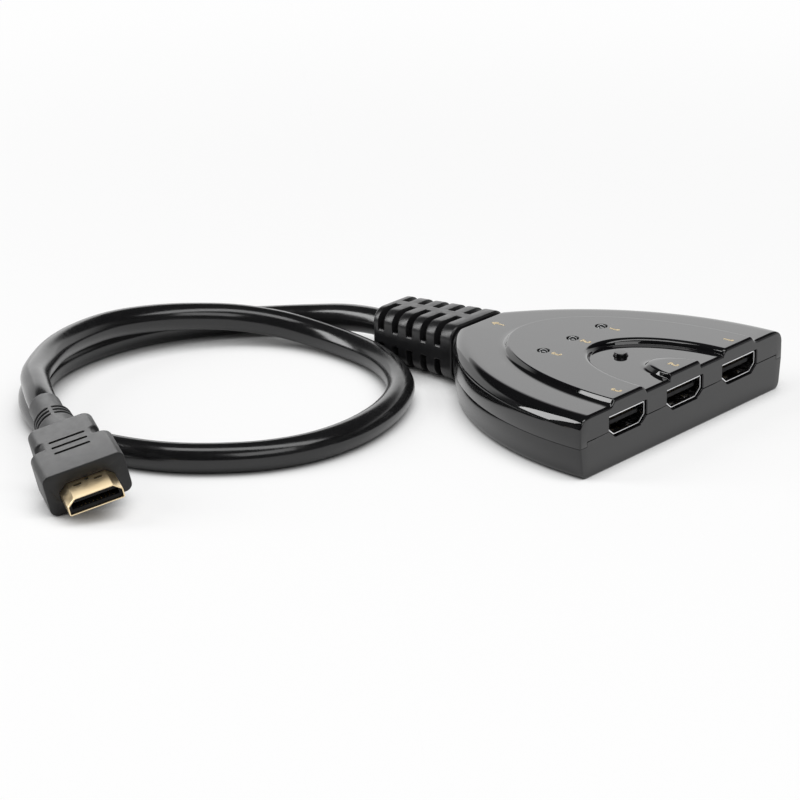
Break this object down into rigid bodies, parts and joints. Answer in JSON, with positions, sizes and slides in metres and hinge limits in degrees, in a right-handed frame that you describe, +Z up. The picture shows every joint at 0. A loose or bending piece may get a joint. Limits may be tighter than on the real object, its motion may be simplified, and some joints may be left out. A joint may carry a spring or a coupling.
{
  "type": "video switch box with output cable",
  "caption": "Flat shield-shaped video switch box with a row of input sockets, indicator lamps, a select button and a fixed looped output cable ending in a plug.",
  "frame": {"origin": "middle of the case's underside, halfway between the port face and the cable face", "axes": "+X along the row of ports to the right seen from the port face, +Y from the port face to the cable face, +Z up"},
  "size_m": [0.1859, 0.1612, 0.0179],
  "materials": {
    "case_gloss": "gloss black moulded shell",
    "boot_matte": "satin black soft moulding",
    "jacket": "satin black cable jacket",
    "grip_matte": "matte black plug moulding",
    "port_steel": "bright plated sheet",
    "gold_plate": "gold plated sheet",
    "insert_black": "black connector moulding",
    "contact_gold": "plated contact strips",
    "lamp_clear": "clear cast lamp, unlit",
    "button_black": "satin black plunger",
    "switch_steel": "stamped sheet",
    "switch_plastic": "moulded switch housing",
    "board_green": "green solder mask",
    "chip_black": "moulded chip",
    "screw_steel": "plated screw",
    "wire_sheath": "insulated wire"
  },
  "bodies": {
    "case": {"top_cover": "case_gloss", "bottom_case": "case_gloss", "case_screws": "screw_steel", "circuit_board": "board_green", "switch_chip": "chip_black", "port_shell_1": "port_steel", "port_shell_2": "port_steel", "port_shell_3": "port_steel", "port_insert_1": "insert_black", "port_insert_2": "insert_black", "port_insert_3": "insert_black", "port_contacts_1": "contact_gold", "port_contacts_2": "contact_gold", "port_contacts_3": "contact_gold", "indicator_lamp_1": "lamp_clear", "indicator_lamp_2": "lamp_clear", "indicator_lamp_3": "lamp_clear", "switch_base": "switch_plastic", "switch_plate": "switch_steel", "switch_dome": "switch_steel", "cable_wires": "wire_sheath", "strain_relief": "boot_matte", "cable": "jacket", "plug_body": "grip_matte", "plug_shell": "gold_plate", "plug_insert": "insert_black", "plug_contacts": "contact_gold"},
    "button": {"select_button": "button_black"}
  },
  "joints": [
    {"name": "select_press", "type": "slide", "parent": "case", "child": "button", "axis": [0, 0, -1], "range_m": [0, 0.0003], "stiffness_N_per_m": 1500}
  ]
}
